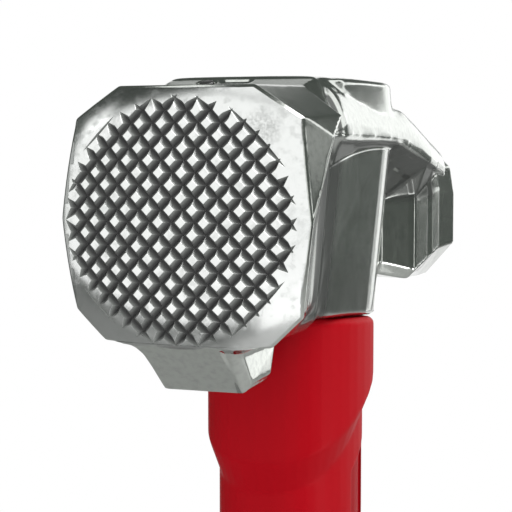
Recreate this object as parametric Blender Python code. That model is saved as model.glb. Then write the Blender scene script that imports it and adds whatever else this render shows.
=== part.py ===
"""Lineman hammer: a forged head with a milled face, bonded on a jacketed fibreglass handle.

Metres, +Z up. The hammer stands on its butt, the handle's axis is the Z axis and the milled face looks
along -Y. The head is modelled from the apex of its milled face (x across, y back, z up) and then placed
on the handle.
"""
import math

import bmesh
import bpy
from mathutils import Vector

for leftover in list(bpy.data.objects):
    bpy.data.objects.remove(leftover, do_unlink=True)

# Whole tool
OVERALL_LENGTH = 0.380
CLEARANCE = 0.0003

# Head, from the apex of the milled face
HEAD_LENGTH = 0.1140
EYE_SETBACK = 0.0540
TOP_HEIGHT = 0.0240
SOCKET_DROP = 0.0202
SOCKET_TILT = -0.082

# Milled face: half outline, crown and grooves
FACE_TOP = 0.0217
FACE_TOP_HALF = 0.0119
FACE_SHOULDER_HALF = 0.0201
FACE_SHOULDER_Z = 0.0164
FACE_HALF_WIDTH = 0.0220
FACE_LOWER_HALF = 0.0200
FACE_LOWER_Z = -0.0150
FACE_BOTTOM_HALF = 0.0147
FACE_BOTTOM = -0.0200
FACE_LAND = 0.0003
FACE_STOCK = 0.0040
CROWN_CURVATURE = 8.3
CROWN_FALL = 4000.0
MILL_RADIUS = 0.0203
MILL_FADE = 0.0020
MILL_REACH = 0.0189
MILL_RUN_OUT = 0.0033
MILL_PITCH = 0.00283
MILL_FLAT = 0.00127
MILL_DEPTH = 0.0011
MILL_SHIFT = 0.0009

# Front block behind the face
RAMP_START = 0.0233
RAMP_START_HALF = 0.0132
RAMP_END = 0.0289
RAMP_END_HALF = 0.0137
RAMP_RISE = 0.0019
RAMP_LIP = 0.0002
CHAMFER_END = 0.0210
CHAMFER_END_HALF = 0.0208
CHAMFER_END_Z = 0.0170
CREASE_BACK = 0.0125
CREASE_HALF = 0.0223
CREASE_Z = 0.0134
FLANK_END = 0.0185
FLANK_HALF = 0.0172
FLANK_LOWER_HALF = 0.0163
FLANK_BOTTOM_HALF = 0.0130
FLANK_BOTTOM = -0.0185
BLOCK_ROUND = 0.0012

# Chin under the face
CHIN_DROP = 0.0288
CHIN_HALF = 0.0079
CHIN_TOP_HALF = 0.0085
CHIN_FRONT = 0.0112
CHIN_TOP_FRONT = 0.0025
CHIN_BACK = 0.0238
CHIN_BACK_LEAN = 0.25
CHIN_NARROWING = 0.0012
CHIN_FLARE = 0.0040
CHIN_EDGE = 0.0009
PAD_RAISE = 0.0007
PAD_MARGIN = 0.0012
PAD_ROOT = 0.0010

# Socket round the eye and boss on top
SOCKET_HALF_TOP = 0.0163
SOCKET_HALF_BOTTOM = 0.0134
SOCKET_LENGTH = 0.0472
SOCKET_CORNER = 0.0085
SOCKET_CORNER_RUN = 0.0180
SOCKET_BLEND = 0.0110
SOCKET_EDGE = 0.0006
BOSS_HALF = 0.0158
BOSS_REAR = 0.0012
BOSS_FLARE = 0.0014
BOSS_EDGE = 0.0007
EYE_HALF_X = 0.0095
EYE_HALF_Y = 0.0145
CAP_DEPTH = 0.0055
CAP_SINK = 0.0006

# Shoulder beam over the socket
BEAM_HALF = 0.0172
BEAM_LOW = 0.0125
BEAM_LIP = 0.0006
BEAM_FLATNESS = 1.2
BEAM_END_SHARE = 0.4

# Shoulder beam stations, front to rear: share of the beam's run, fall of its crest, half width of its flat
# top, growth of its side, rise of its side, rise of its lip, half width of its root, drop of its root
BEAM_STATIONS = (
    (0.000, 0.0042, 0.0115, 0.0002, 0.0012, 0.0004, 0.0150, 0.0060),
    (0.125, 0.0001, 0.0134, 0.0016, 0.0014, 0.0002, 0.0150, 0.0060),
    (0.242, 0.0014, 0.0134, 0.0010, 0.0012, 0.0000, 0.0150, 0.0045),
    (0.393, 0.0032, 0.0133, 0.0006, 0.0010, 0.0000, 0.0140, 0.0035),
    (0.573, 0.0040, 0.0134, 0.0002, 0.0006, -0.0007, 0.0084, 0.0060),
    (0.663, 0.0041, 0.0135, 0.0000, -0.0002, -0.0020, 0.0084, 0.0080),
    (0.742, 0.0060, 0.0136, -0.0001, -0.0014, -0.0034, 0.0090, 0.0080),
    (0.831, 0.0085, 0.0138, -0.0002, -0.0032, -0.0050, 0.0133, 0.0071),
    (1.000, 0.0124, 0.0135, -0.0010, -0.0062, -0.0072, 0.0138, 0.0028),
)

# Poll and its smooth rear face
POLL_CENTRE = -0.0030
POLL_HALF_WIDTH = 0.0168
POLL_HALF_HEIGHT = 0.0140
POLL_RIM = 0.0100
POLL_FLARE = 0.0115
POLL_SHOULDER = 0.0080
POLL_BEVEL = 0.0009

# Poll sections: half width taken off, panel top, panel bottom, lower half, rise of the bottom, crest half
POLL_NECK = (0.0083, 0.0050, -0.0095, 0.0076, 0.0022, 0.0068)
POLL_PANEL = (0.0032, 0.0033, -0.0117, 0.0118, 0.0006, 0.0095)
POLL_EDGE = (0.0010, 0.0055, -0.0074, 0.0106, 0.0000, 0.0120)
POLL_END = (0.0000, 0.0040, -0.0068, 0.0104, 0.0000, 0.0118)

# Nail starter on the ramp
NAIL_SLOT_LEFT = -0.0036
NAIL_SLOT_RIGHT = 0.0024
NAIL_SLOT_FLOOR = 0.0009
NAIL_SLOT_BACK = 0.0013
NAIL_SLOT_SPARE = 0.0040
MAGNET_X = -0.0057
MAGNET_PLACE = 0.45
MAGNET_RADIUS = 0.0013
MAGNET_LENGTH = 0.0030
MAGNET_PROUD = 0.0001

# Handle
CORE_HALF_X = 0.0075
CORE_HALF_Y = 0.0117
CORE_EDGE = 0.0006
CAP_EDGE = 0.0005
COLLAR_HALF_X = 0.0146
COLLAR_HALF_Y = 0.0195
COLLAR_LENGTH = 0.0163
COLLAR_TAPER = 0.0053
COLLAR_TILT = 0.45
TAPER_TILT = 0.546
COLLAR_EDGE = 0.0008
SHAFT_HALF_X = 0.0125
SHAFT_HALF_Y = 0.0174
SHAFT_RUN = 0.0200
WAIST_HALF_X = 0.0117
WAIST_HALF_Y = 0.0158
WAIST_ABOVE_GRIP = 0.0300
PANEL_DEPTH = 0.0004
PANEL_FRONT = -0.0009
PANEL_WIDTH = 0.0110
PANEL_TOP = 0.0076
PANEL_SLANT = 0.45
PANEL_LENGTH = 0.0900
GRIP_LENGTH = 0.1400
GRIP_HALF_X = 0.0150
GRIP_HALF_Y = 0.0192
GRIP_WALL = 0.0028
GRIP_SWELL = 0.0016
GRIP_BAND = 0.0080
RIB_COUNT = 14
RIB_DEPTH = 0.0007
BUTT_HEIGHT = 0.0280
BUTT_HALF_X = 0.0160
BUTT_HALF_Y = 0.0225
BUTT_STRAIGHT = 0.55
BUTT_EDGE = 0.0015
BUTT_WEB = 0.0028
TETHER_HEIGHT = 0.0085
BUSH_RADIUS = 0.0044
BUSH_BORE = 0.0034
BUSH_FLANGE = 0.0056
BUSH_FLANGE_THICKNESS = 0.0008

# How finely the round shapes are drawn
OVAL_SIDES = 40
OVAL_POWER = 2.4
CORNER_STEPS = 12
TURNED_SIDES = 24
SMOOTH_ANGLE = math.radians(32.0)
CHIN_EDGE_ANGLE = math.radians(50.0)
CUT_SPARE = 0.0050

# Steps along one rib of the grip: share of its pitch, share of its depth
RIB_STEPS = ((0.20, 0.0), (0.35, 1.0), (0.65, 1.0), (0.80, 0.0))

# Derived places
FACE_HEIGHT = OVERALL_LENGTH - TOP_HEIGHT
SOCKET_BOTTOM = FACE_HEIGHT - SOCKET_DROP
SOCKET_REAR = EYE_SETBACK + 0.5 * SOCKET_LENGTH
JACKET_TOP = SOCKET_BOTTOM - CLEARANCE
JACKET_BOTTOM = BUTT_HEIGHT + CLEARANCE
COLLAR_END = JACKET_TOP - COLLAR_LENGTH
TAPER_END = COLLAR_END - COLLAR_TAPER
GRIP_TOP = JACKET_BOTTOM + GRIP_LENGTH
CAP_TOP = OVERALL_LENGTH - CAP_SINK
CAP_BOTTOM = CAP_TOP - CAP_DEPTH
CORE_TOP = CAP_BOTTOM - CLEARANCE
POCKET_FLOOR = TETHER_HEIGHT + BUSH_RADIUS + CLEARANCE + BUTT_WEB
CORE_BOTTOM = POCKET_FLOOR + CLEARANCE
POLL_FRONT = HEAD_LENGTH - POLL_RIM - POLL_FLARE
HEAD_PLACE = Vector((0.0, -EYE_SETBACK, FACE_HEIGHT))


def between(first, last, share):
    """Value part of the way from one number to another."""
    return first + (last - first) * share


def finish_mesh(name, shape):
    """Turn a bmesh into a named object with its faces pointing out."""
    bmesh.ops.triangulate(shape, faces=shape.faces)
    bmesh.ops.recalc_face_normals(shape, faces=shape.faces)
    mesh = bpy.data.meshes.new(name)
    shape.to_mesh(mesh)
    shape.free()
    obj = bpy.data.objects.new(name, mesh)
    bpy.context.scene.collection.objects.link(obj)
    return obj


def loft(name, rings):
    """Closed solid through rings that have the same number of points."""
    shape = bmesh.new()
    loops = [[shape.verts.new(point) for point in ring] for ring in rings]
    for lower, upper in zip(loops, loops[1:]):
        count = len(lower)
        for k in range(count):
            following = (k + 1) % count
            shape.faces.new((lower[k], lower[following], upper[following], upper[k]))
    shape.faces.new(list(reversed(loops[0])))
    shape.faces.new(loops[-1])
    return finish_mesh(name, shape)


def block(name, low, high):
    """Closed box between two corners."""
    corners = [(low[0], low[1]), (high[0], low[1]), (high[0], high[1]), (low[0], high[1])]
    rings = [[(x, y, z) for x, y in corners] for z in (low[2], high[2])]
    return loft(name, rings)


def mirrored(half):
    """Full ring from a half outline that runs from the top centre to the bottom centre."""
    left = [(-x, y, z) for x, y, z in reversed(half) if x > 0.0]
    return list(half) + left


def oval(half_x, half_y, z, tilt=0.0):
    """Rounded ring about the handle's axis, with its rear side raised by the tilt."""
    ring = []
    for k in range(OVAL_SIDES):
        angle = 2.0 * math.pi * k / OVAL_SIDES
        across = math.cos(angle)
        along = math.sin(angle)
        x = half_x * math.copysign(abs(across) ** (2.0 / OVAL_POWER), across)
        y = half_y * math.copysign(abs(along) ** (2.0 / OVAL_POWER), along)
        ring.append((x, y, z + tilt * y))
    return ring


def combine(target, tool, operation):
    """Apply a boolean with another solid, which is then removed."""
    modifier = target.modifiers.new(operation.lower(), "BOOLEAN")
    modifier.operation = operation
    modifier.solver = "EXACT"
    modifier.object = tool
    graph = bpy.context.evaluated_depsgraph_get()
    result = bpy.data.meshes.new_from_object(target.evaluated_get(graph))
    target.modifiers.clear()
    target.data = result
    bpy.data.objects.remove(tool, do_unlink=True)


def cut_through(target, rings):
    """Cut a lofted opening out of a solid."""
    combine(target, loft("opening", rings), "DIFFERENCE")


def bevel_sharp(obj, width, angle):
    """Break the edges whose faces meet at more than an angle."""
    shape = bmesh.new()
    shape.from_mesh(obj.data)
    edges = [e for e in shape.edges if e.is_manifold and e.calc_face_angle() > angle]
    bmesh.ops.bevel(shape, geom=edges, offset=width, segments=1, affect="EDGES", profile=0.5)
    shape.to_mesh(obj.data)
    shape.free()


def paint(obj, colour, roughness, metallic):
    """Give a piece its own material and smooth shading between sharp edges."""
    material = bpy.data.materials.new(obj.name)
    material.use_nodes = True
    shader = material.node_tree.nodes["Principled BSDF"]
    shader.inputs["Base Color"].default_value = (*colour, 1.0)
    shader.inputs["Roughness"].default_value = roughness
    shader.inputs["Metallic"].default_value = metallic
    obj.data.materials.clear()
    obj.data.materials.append(material)
    obj.data.shade_smooth()
    obj.data.set_sharp_from_angle(angle=SMOOTH_ANGLE)


def crown_depth(x, z):
    """How far the crowned face has fallen back at a distance from its apex."""
    r2 = x * x + z * z
    return 0.5 * CROWN_CURVATURE * r2 + CROWN_FALL * r2 * r2


def milled_lines(limit):
    """Grid lines across the milled pattern, with the depth share of each: 0 on flats, 1 in a groove."""
    lines = [(-limit, 0.0)]
    count = int(math.ceil(MILL_RADIUS / MILL_PITCH))
    for k in range(-count, count + 1):
        centre = k * MILL_PITCH
        lines.append((centre - 0.5 * MILL_FLAT, 0.0))
        lines.append((centre + 0.5 * MILL_FLAT, 0.0))
        lines.append((centre + 0.5 * MILL_PITCH, 1.0))
    lines[-1] = (lines[-1][0], 0.0)
    lines.append((limit, 0.0))
    return lines


def face_stock():
    """The solid in front of the milled face: cutting it away leaves the crown and its grooves."""
    widest = max(FACE_HALF_WIDTH, FACE_TOP, -FACE_BOTTOM, MILL_RADIUS + MILL_PITCH)
    limit = math.sqrt(2.0) * widest
    front = -2.0 * FACE_STOCK
    lines = milled_lines(limit)
    diagonal = math.sqrt(0.5)
    shape = bmesh.new()
    near = []
    far = []
    for u, groove_u in lines:
        near_row = []
        far_row = []
        for v, groove_v in lines:
            x = (u - v) * diagonal + MILL_SHIFT
            z = (u + v) * diagonal
            fade = (MILL_RADIUS - math.hypot(x, z)) / MILL_FADE
            run_out = (MILL_REACH - max(abs(u), abs(v))) / MILL_RUN_OUT
            share = min(1.0, max(0.0, min(fade, run_out)))
            depth = MILL_DEPTH * max(groove_u, groove_v) * share
            near_row.append(shape.verts.new((x, crown_depth(x, z) + depth, z)))
            far_row.append(shape.verts.new((x, front, z)))
        near.append(near_row)
        far.append(far_row)
    last = len(lines) - 1
    for i in range(last):
        for j in range(last):
            a = near[i][j]
            b = near[i + 1][j]
            c = near[i + 1][j + 1]
            d = near[i][j + 1]
            groove_ends = (lines[i][1] + lines[j][1], lines[i + 1][1] + lines[j + 1][1])
            if 2.0 in groove_ends:
                shape.faces.new((a, b, c))
                shape.faces.new((a, c, d))
            else:
                shape.faces.new((a, b, d))
                shape.faces.new((b, c, d))
    border = [(i, 0) for i in range(last)] + [(last, j) for j in range(last)]
    border += [(i, last) for i in range(last, 0, -1)] + [(0, j) for j in range(last, 0, -1)]
    for (i, j), (p, q) in zip(border, border[1:] + border[:1]):
        shape.faces.new((near[i][j], near[p][q], far[p][q], far[i][j]))
    shape.faces.new([far[i][j] for i, j in border])
    loose = [v for row in far for v in row if not v.link_faces]
    bmesh.ops.delete(shape, geom=loose, context="VERTS")
    return finish_mesh("face_stock", shape)


def socket_low(y):
    """Height of the socket's sloping bottom at a depth."""
    return SOCKET_TILT * (y - EYE_SETBACK) - SOCKET_DROP


def front_block():
    """Tapered block behind the face, with its chamfered top corners and flanks."""
    ramp_low = TOP_HEIGHT - RAMP_RISE
    crest = TOP_HEIGHT - RAMP_LIP
    socket_front = FLANK_END + SOCKET_BLEND
    socket_foot = socket_low(socket_front) + SOCKET_EDGE
    face = [
        (0.0, FACE_TOP),
        (FACE_TOP_HALF, FACE_TOP),
        (FACE_SHOULDER_HALF, FACE_SHOULDER_Z),
        (FACE_SHOULDER_HALF, FACE_SHOULDER_Z - BLOCK_ROUND),
        (FACE_HALF_WIDTH, 0.0),
        (FACE_LOWER_HALF, FACE_LOWER_Z),
        (FACE_BOTTOM_HALF, FACE_BOTTOM),
        (0.0, FACE_BOTTOM),
    ]
    stock = [(x, -FACE_STOCK, z) for x, z in face]
    rim = [(x, crown_depth(x, z) + FACE_LAND, z) for x, z in face]
    middle = [
        (0.0, RAMP_START, ramp_low),
        (RAMP_START_HALF, RAMP_START, ramp_low),
        (CHAMFER_END_HALF, CHAMFER_END, CHAMFER_END_Z),
        (CREASE_HALF, CREASE_BACK, CREASE_Z),
        (FLANK_HALF, FLANK_END, 0.0),
        (FLANK_LOWER_HALF, FLANK_END, FACE_LOWER_Z),
        (FLANK_BOTTOM_HALF, FLANK_END, FLANK_BOTTOM),
        (0.0, FLANK_END, FLANK_BOTTOM),
    ]
    back = [
        (0.0, RAMP_END, crest),
        (RAMP_END_HALF, RAMP_END, crest),
        (CHAMFER_END_HALF - BLOCK_ROUND, CHAMFER_END + BLOCK_ROUND, CHAMFER_END_Z - BLOCK_ROUND),
        (SOCKET_HALF_TOP + BLOCK_ROUND, RAMP_START + BLOCK_ROUND, BEAM_LOW),
        (0.5 * (SOCKET_HALF_TOP + SOCKET_HALF_BOTTOM), socket_front, 0.0),
        (SOCKET_HALF_BOTTOM, socket_front, FACE_LOWER_Z),
        (SOCKET_HALF_BOTTOM - BLOCK_ROUND, socket_front, socket_foot),
        (0.0, socket_front, socket_foot),
    ]
    return loft("hammer_head", [mirrored(ring) for ring in (stock, rim, middle, back)])


def beam_ring(y, crest, shoulder_half, side_half, side_z, lip_z, root_half, root_drop):
    """Section of the shoulder beam: flat top, rounded shoulder and a lip over the socket."""
    half = [(0.0, y, crest)]
    for k in range(CORNER_STEPS + 1):
        turn = 0.5 * math.pi * k / CORNER_STEPS
        x = between(shoulder_half, side_half, math.sin(turn) ** BEAM_FLATNESS)
        z = between(side_z, crest - BEAM_LIP, math.cos(turn) ** BEAM_FLATNESS)
        half.append((x, y, z))
    half.append((side_half - 0.5 * BEAM_LIP, y, between(lip_z, side_z, 0.35)))
    half.append((side_half - 2.0 * BEAM_LIP, y, lip_z))
    half.append((root_half, y, lip_z - root_drop))
    half.append((0.0, y, lip_z - root_drop))
    return mirrored(half)


def shoulder_beam():
    """Beam that runs from the front block over the socket and falls to the poll."""
    start = between(CREASE_BACK, RAMP_START, 0.6)
    end = HEAD_LENGTH - (1.0 - BEAM_END_SHARE) * POLL_RIM
    rings = []
    for share, fall, shoulder_half, grow, side_rise, lip_rise, root_half, root_drop in BEAM_STATIONS:
        y = between(start, end, share)
        side = (BEAM_HALF + grow, BEAM_LOW + side_rise)
        lip = BEAM_LOW + lip_rise
        rings.append(beam_ring(y, TOP_HEIGHT - fall, shoulder_half, *side, lip, root_half, root_drop))
    return loft("shoulder_beam", rings)


def rear_rounded(half, rear):
    """Right half of a plan outline whose rear corner is round."""
    outline = []
    for k in range(CORNER_STEPS + 1):
        turn = 0.5 * math.pi * k / CORNER_STEPS
        x = half - SOCKET_CORNER * (1.0 - math.cos(turn))
        y = rear - SOCKET_CORNER_RUN * (1.0 - math.sin(turn))
        outline.append((x, y))
    return outline


def both_sides(right):
    """Full plan outline from its right half, which runs from front to rear."""
    return right + [(-x, y) for x, y in reversed(right)]


def socket_body():
    """Tapered socket round the eye, between the shoulder beam and the collar."""
    foot = SOCKET_REAR - BLOCK_ROUND
    plans = []
    for half, rear in (
        (SOCKET_HALF_BOTTOM - SOCKET_EDGE, foot - SOCKET_EDGE),
        (SOCKET_HALF_BOTTOM, foot),
        (SOCKET_HALF_TOP, SOCKET_REAR),
        (SOCKET_HALF_TOP, SOCKET_REAR),
    ):
        plans.append(both_sides([(half, RAMP_START)] + rear_rounded(half, rear)))
    rings = [
        [(x, y, socket_low(y)) for x, y in plans[0]],
        [(x, y, socket_low(y) + SOCKET_EDGE) for x, y in plans[1]],
        [(x, y, BEAM_LOW) for x, y in plans[2]],
        [(x, y, BEAM_LOW + BLOCK_ROUND) for x, y in plans[3]],
    ]
    return loft("socket_body", rings)


def boss_body():
    """Raised boss at the top of the eye, flat on top and level with the front block."""
    front = RAMP_END - BOSS_EDGE
    widened = RAMP_END + 4.0 * (BOSS_HALF - RAMP_END_HALF)
    levels = [
        (BEAM_LOW + 2.0 * BLOCK_ROUND, BOSS_FLARE),
        (between(BEAM_LOW, TOP_HEIGHT, 0.5), 0.25 * BOSS_FLARE),
        (between(BEAM_LOW, TOP_HEIGHT, 0.75), 0.05 * BOSS_FLARE),
        (TOP_HEIGHT - BOSS_EDGE, 0.0),
        (TOP_HEIGHT, -BOSS_EDGE),
    ]
    rings = []
    for z, grow in levels:
        right = [(RAMP_END_HALF - BOSS_EDGE, front), (BOSS_HALF + grow, widened)]
        right += rear_rounded(BOSS_HALF + grow, SOCKET_REAR + BOSS_REAR + grow)
        rings.append([(x, y, z) for x, y in both_sides(right)])
    return loft("boss_body", rings)


def poll_ring(y, section, bevel=0.0):
    """Faceted section of the poll about its own centre height."""
    taken_off, upper, lower, low_half, rise, crest_half = section
    half = POLL_HALF_WIDTH - taken_off - bevel
    crest = POLL_HALF_HEIGHT - bevel
    bottom = rise + bevel - POLL_HALF_HEIGHT
    points = [
        (0.0, crest),
        (crest_half - bevel, crest),
        (half - POLL_BEVEL, between(upper, crest, 0.6)),
        (half, upper),
        (half, lower),
        (low_half - bevel, bottom),
        (0.0, bottom),
    ]
    return mirrored([(x, y, POLL_CENTRE + z) for x, z in points])


def poll_body():
    """Neck that flares into the faceted poll, ending in a flat bevelled striking face."""
    rings = [
        poll_ring(EYE_SETBACK + EYE_HALF_Y - POLL_SHOULDER, POLL_NECK),
        poll_ring(POLL_FRONT - POLL_SHOULDER, POLL_NECK),
        poll_ring(POLL_FRONT, POLL_PANEL),
        poll_ring(HEAD_LENGTH - POLL_RIM, POLL_EDGE),
        poll_ring(HEAD_LENGTH - POLL_BEVEL, POLL_END),
        poll_ring(HEAD_LENGTH, POLL_END, POLL_BEVEL),
    ]
    return loft("poll_body", rings)


def chin_at(z):
    """Half width, front and back of the chin at a height."""
    share = (z + CHIN_DROP) / (FACE_BOTTOM + CHIN_DROP)
    half = between(CHIN_HALF, CHIN_TOP_HALF, share)
    front = between(CHIN_FRONT, CHIN_TOP_FRONT, share)
    back = CHIN_BACK + CHIN_BACK_LEAN * (z + CHIN_DROP)
    return half, front, back


def chin_body():
    """Wedge under the face that falls back to a narrow foot."""
    levels = [
        (FACE_BOTTOM + 0.75 * CHIN_FLARE, 1.6),
        (FACE_BOTTOM - 0.025 * CHIN_FLARE, 1.05),
        (FACE_BOTTOM - 0.125 * CHIN_FLARE, 0.5),
        (FACE_BOTTOM - 0.275 * CHIN_FLARE, 0.24),
        (FACE_BOTTOM - 0.55 * CHIN_FLARE, 0.10),
        (FACE_BOTTOM - 1.1 * CHIN_FLARE, 0.04),
        (-CHIN_DROP, 0.0),
    ]
    rings = []
    for z, share in levels:
        half, front, back = chin_at(z)
        grow = share * CHIN_FLARE
        half += grow
        back += grow
        rear = half - CHIN_NARROWING
        rings.append([(-half, front, z), (half, front, z), (rear, back, z), (-rear, back, z)])
    chin = loft("chin_body", rings)
    bevel_sharp(chin, CHIN_EDGE, CHIN_EDGE_ANGLE)
    return chin


def chin_pad():
    """Bare raised pad on the chin's right side."""
    low = PAD_MARGIN - CHIN_DROP
    high = FACE_BOTTOM - PAD_MARGIN
    rings = []
    for raise_by, inset in ((-PAD_ROOT, 0.0), (0.0, 0.0), (PAD_RAISE, PAD_RAISE)):
        ring = []
        for z in (low + inset, high - inset):
            half, front, back = chin_at(z)
            margin = (PAD_MARGIN + inset) / (back - front)
            near = (half - CHIN_NARROWING * margin + raise_by, between(front, back, margin), z)
            away = (half - CHIN_NARROWING * (1.0 - margin) + raise_by, between(back, front, margin), z)
            ring += [near, away] if not ring else [away, near]
        rings.append(ring)
    return loft("chin_pad", rings)


def ramp_height(y):
    """Height of the ramp on the front block at a depth."""
    return TOP_HEIGHT - RAMP_RISE * (RAMP_END - y) / (RAMP_END - RAMP_START)


def magnet_disc(name, radius, low, high):
    """Disc along the ramp's normal, centred on the ramp where the magnet sits."""
    slope = math.atan2(RAMP_RISE, RAMP_END - RAMP_START)
    depth = between(RAMP_START, RAMP_END, MAGNET_PLACE)
    centre = Vector((MAGNET_X, depth, ramp_height(depth)))
    across = Vector((1.0, 0.0, 0.0))
    along = Vector((0.0, math.cos(slope), math.sin(slope)))
    normal = Vector((0.0, -math.sin(slope), math.cos(slope)))
    rings = []
    for level in (low, high):
        ring = []
        for k in range(TURNED_SIDES):
            turn = 2.0 * math.pi * k / TURNED_SIDES
            ring.append(centre + radius * (math.cos(turn) * across + math.sin(turn) * along) + level * normal)
        rings.append(ring)
    return loft(name, rings)


def nail_slot():
    """Slot in the ramp that takes a nail's head."""
    back = RAMP_END - NAIL_SLOT_BACK
    floor = ramp_height(back) - NAIL_SLOT_FLOOR
    low = (NAIL_SLOT_LEFT, RAMP_START - NAIL_SLOT_SPARE, floor)
    high = (NAIL_SLOT_RIGHT, back, TOP_HEIGHT + NAIL_SLOT_SPARE)
    return block("nail_slot", low, high)


def hammer_head():
    """The forging: solids joined into one body, then the eye, the slot and the face are cut."""
    head = front_block()
    for piece in (shoulder_beam(), socket_body(), boss_body(), poll_body(), chin_body(), chin_pad()):
        combine(head, piece, "UNION")
    combine(head, face_stock(), "DIFFERENCE")
    reach = TOP_HEIGHT + SOCKET_DROP
    eye = []
    for z in (-reach, reach):
        eye.append([(x, y + EYE_SETBACK, level) for x, y, level in oval(EYE_HALF_X, EYE_HALF_Y, z)])
    cut_through(head, eye)
    combine(head, nail_slot(), "DIFFERENCE")
    seat = magnet_disc("magnet_seat", MAGNET_RADIUS + CLEARANCE, -MAGNET_LENGTH - CLEARANCE, TOP_HEIGHT)
    combine(head, seat, "DIFFERENCE")
    head.location = HEAD_PLACE
    paint(head, (0.58, 0.59, 0.57), 0.26, 1.0)
    return head


def nail_magnet():
    """Round magnet, pressed into the ramp."""
    magnet = magnet_disc("nail_magnet", MAGNET_RADIUS, -MAGNET_LENGTH, MAGNET_PROUD)
    magnet.location = HEAD_PLACE
    paint(magnet, (0.10, 0.10, 0.10), 0.35, 1.0)
    return magnet


def core_bore(low, high):
    """Rings of the bore that the bar slides through."""
    return [oval(CORE_HALF_X + CLEARANCE, CORE_HALF_Y + CLEARANCE, z) for z in (low, high)]


def handle_core():
    """Fibreglass bar from the butt cap to just under the eye's cap."""
    rings = [
        oval(CORE_HALF_X - CORE_EDGE, CORE_HALF_Y - CORE_EDGE, CORE_BOTTOM),
        oval(CORE_HALF_X, CORE_HALF_Y, CORE_BOTTOM + CORE_EDGE),
        oval(CORE_HALF_X, CORE_HALF_Y, CORE_TOP - CORE_EDGE),
        oval(CORE_HALF_X - CORE_EDGE, CORE_HALF_Y - CORE_EDGE, CORE_TOP),
    ]
    core = loft("handle_core", rings)
    paint(core, (0.62, 0.55, 0.30), 0.45, 0.0)
    return core


def eye_bond():
    """Epoxy ring that fills the eye round the bar."""
    half_x = EYE_HALF_X - CLEARANCE
    half_y = EYE_HALF_Y - CLEARANCE
    bottom = oval(half_x, half_y, SOCKET_BOTTOM + CLEARANCE, SOCKET_TILT)
    bond = loft("eye_bond", [bottom, oval(half_x, half_y, CORE_TOP)])
    cut_through(bond, core_bore(SOCKET_BOTTOM - CUT_SPARE, CORE_TOP + CUT_SPARE))
    paint(bond, (0.16, 0.14, 0.10), 0.4, 0.0)
    return bond


def eye_cap():
    """Sealing plug over the top of the eye."""
    half_x = EYE_HALF_X - CLEARANCE
    half_y = EYE_HALF_Y - CLEARANCE
    rings = [
        oval(half_x, half_y, CAP_BOTTOM),
        oval(half_x, half_y, CAP_TOP - CAP_EDGE),
        oval(half_x - CAP_EDGE, half_y - CAP_EDGE, CAP_TOP),
    ]
    cap = loft("eye_cap", rings)
    paint(cap, (0.03, 0.03, 0.03), 0.5, 0.0)
    return cap


def jacket_rings(inset):
    """Rings of the jacket from the collar down to the grip, taken in by a depth."""
    waist = GRIP_TOP + WAIST_ABOVE_GRIP
    sizes = [
        (COLLAR_HALF_X - COLLAR_EDGE, COLLAR_HALF_Y - COLLAR_EDGE, JACKET_TOP, SOCKET_TILT),
        (COLLAR_HALF_X, COLLAR_HALF_Y, JACKET_TOP - COLLAR_EDGE, SOCKET_TILT),
        (COLLAR_HALF_X, COLLAR_HALF_Y, COLLAR_END, COLLAR_TILT),
        (SHAFT_HALF_X, SHAFT_HALF_Y, TAPER_END, TAPER_TILT),
        (SHAFT_HALF_X, SHAFT_HALF_Y, TAPER_END - SHAFT_RUN, 0.5 * TAPER_TILT),
        (WAIST_HALF_X, WAIST_HALF_Y, waist, 0.0),
        (WAIST_HALF_X, WAIST_HALF_Y, GRIP_TOP + CLEARANCE, 0.0),
    ]
    return [oval(half_x - inset, half_y - inset, z, tilt) for half_x, half_y, z, tilt in sizes]


def side_panel(side):
    """Shallow layer taken off one side of the shaft, with a slanted top."""
    top = TAPER_END - PANEL_TOP
    low = top - PANEL_LENGTH
    back = PANEL_FRONT + PANEL_WIDTH
    plan = [(PANEL_FRONT, low), (back, low), (back, top + PANEL_SLANT * PANEL_WIDTH), (PANEL_FRONT, top)]
    rings = []
    for x in (0.0, side * COLLAR_HALF_X):
        rings.append([(x, y, z) for y, z in plan])
    layer = loft("side_panel", rings)
    combine(layer, loft("panel_floor", jacket_rings(PANEL_DEPTH)), "DIFFERENCE")
    return layer


def handle_jacket():
    """Red jacket: overstrike collar, tapering shaft and the neck under the grip."""
    seat_x = GRIP_HALF_X - GRIP_WALL - CLEARANCE
    seat_y = GRIP_HALF_Y - GRIP_WALL - CLEARANCE
    rings = jacket_rings(0.0)
    rings.append(oval(seat_x, seat_y, GRIP_TOP + CLEARANCE))
    rings.append(oval(seat_x, seat_y, JACKET_BOTTOM))
    jacket = loft("handle_jacket", rings)
    for side in (1.0, -1.0):
        combine(jacket, side_panel(side), "DIFFERENCE")
    cut_through(jacket, core_bore(JACKET_BOTTOM - CUT_SPARE, JACKET_TOP + CUT_SPARE))
    paint(jacket, (0.42, 0.005, 0.012), 0.42, 0.0)
    return jacket


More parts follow.
